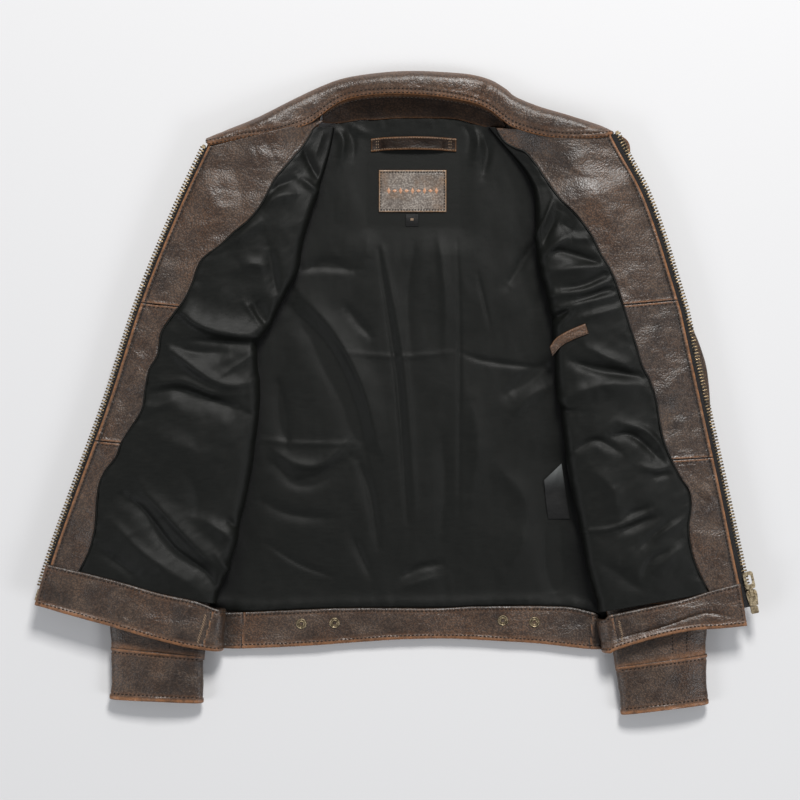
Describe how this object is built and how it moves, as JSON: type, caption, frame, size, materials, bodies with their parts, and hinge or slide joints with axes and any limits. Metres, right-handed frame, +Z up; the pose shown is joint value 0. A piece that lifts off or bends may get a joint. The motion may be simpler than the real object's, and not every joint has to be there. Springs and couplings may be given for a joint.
{
  "type": "leather riding jacket",
  "caption": "Waist-length zipped leather riding jacket lying open on its back, lining side up, with turn-up collar, long sleeves, snap waist tabs and a running zip slider.",
  "frame": {"origin": "middle of the jacket's outline on the table it lies on", "axes": "+Z up off the table, +Y from the hem to the collar, +X towards the front that carries the zip slider (the wearer's left)"},
  "size_m": [0.8665, 0.7768, 0.0373],
  "materials": {
    "leather": "distressed grey-brown pebbled leather with tan wear at the edges",
    "warm_leather": "warm brown leather, less worn",
    "patch_leather": "dry distressed grey leather",
    "lining": "black satin-backed polyester",
    "zip_tape": "black woven tape",
    "label": "glossy black satin label",
    "antique_brass": "antique brass, darkened"
  },
  "bodies": {
    "back": {"back_shell": "leather", "back_lining": "lining", "back_hem_band": "leather", "hem_stud_left_outer": "antique_brass", "hem_stud_left_inner": "antique_brass", "hem_stud_right_inner": "antique_brass", "hem_stud_right_outer": "antique_brass", "hanger_loop": "warm_leather", "brand_patch": "patch_leather", "collar_stand": "warm_leather", "collar_fall_middle": "leather"},
    "collar": {"collar_middle": "leather"},
    "left_front": {"left_front_shell": "leather", "left_facing_upper": "leather", "left_facing_middle": "leather", "left_facing_lower": "leather", "left_front_lining": "lining", "left_front_hem_band": "leather", "left_zip_tape": "zip_tape", "left_zip_teeth": "antique_brass", "zip_insertion_pin": "antique_brass", "left_top_stop": "antique_brass", "left_collar_end": "leather", "left_collar_fall": "leather", "left_hand_pocket_welt": "leather", "left_hand_pocket_bag": "lining"},
    "right_front": {"right_front_shell": "leather", "right_facing_upper": "leather", "right_facing_middle": "leather", "right_facing_lower": "leather", "right_front_lining": "lining", "right_front_hem_band": "leather", "right_zip_tape": "zip_tape", "right_zip_teeth": "antique_brass", "zip_retainer_box": "antique_brass", "right_top_stop": "antique_brass", "right_collar_end": "leather", "right_collar_fall": "leather", "right_hand_pocket_welt": "leather", "right_hand_pocket_bag": "lining", "chest_pocket_welt": "leather", "chest_pocket_bag": "lining"},
    "left_sleeve": {"left_top_sleeve": "leather", "left_under_sleeve": "leather", "left_sleeve_lining": "lining", "left_cuff": "leather"},
    "right_sleeve": {"right_top_sleeve": "leather", "right_under_sleeve": "leather", "right_sleeve_lining": "lining", "right_cuff": "leather"},
    "slider": {"zip_slider": "antique_brass"},
    "pull": {"zip_pull": "antique_brass"},
    "left_waist_tab": {"left_waist_tab": "leather", "left_tab_snap": "antique_brass"},
    "right_waist_tab": {"right_waist_tab": "leather", "right_tab_snap": "antique_brass"},
    "size_tab": {"size_tab": "label"},
    "care_label": {"care_label": "label"}
  },
  "joints": [
    {"name": "left_front_fold", "type": "hinge", "parent": "back", "child": "left_front", "pos_m": [-0.084, 0.323, 0.028], "axis": [0.1744, 0.9847, 0], "range_deg": [0, 135]},
    {"name": "right_front_fold", "type": "hinge", "parent": "back", "child": "right_front", "pos_m": [0.126, 0.323, 0.028], "axis": [0.1958, -0.9806, 0], "range_deg": [0, 135]},
    {"name": "collar_turn", "type": "hinge", "parent": "back", "child": "collar", "pos_m": [0.02, 0.357, 0.0086], "axis": [1, 0, 0], "range_deg": [0, 70]},
    {"name": "left_sleeve_swing", "type": "hinge", "parent": "back", "child": "left_sleeve", "pos_m": [-0.174, 0.173, 0.013], "axis": [0, 0, -1], "range_deg": [0, 20]},
    {"name": "right_sleeve_swing", "type": "hinge", "parent": "back", "child": "right_sleeve", "pos_m": [0.19, 0.173, 0.013], "axis": [0, 0, 1], "range_deg": [0, 20]},
    {"name": "slider_slide", "type": "slide", "parent": "right_front", "child": "slider", "axis": [-0.2146, 0.9767, 0], "range_m": [0, 0.34]},
    {"name": "pull_tilt", "type": "hinge", "parent": "slider", "child": "pull", "pos_m": [0.42688, -0.24054, 0.0357], "axis": [0.9767, 0.2146, 0], "range_deg": [0, 160]},
    {"name": "left_tab_fold", "type": "hinge", "parent": "back", "child": "left_waist_tab", "pos_m": [-0.196, -0.277, 0.0032], "axis": [0, 1, 0], "range_deg": [0, 150]},
    {"name": "right_tab_fold", "type": "hinge", "parent": "back", "child": "right_waist_tab", "pos_m": [0.232, -0.275, 0.0032], "axis": [0, -1, 0], "range_deg": [0, 150]},
    {"name": "size_tab_flip", "type": "hinge", "parent": "back", "child": "size_tab", "pos_m": [0.0205, 0.2175, 0.0046], "axis": [-1, 0, 0], "range_deg": [0, 120]},
    {"name": "care_label_flip", "type": "hinge", "parent": "back", "child": "care_label", "pos_m": [0.2065, -0.1155, 0.005], "axis": [-0.1508, 0.9886, 0], "range_deg": [0, 70]}
  ]
}
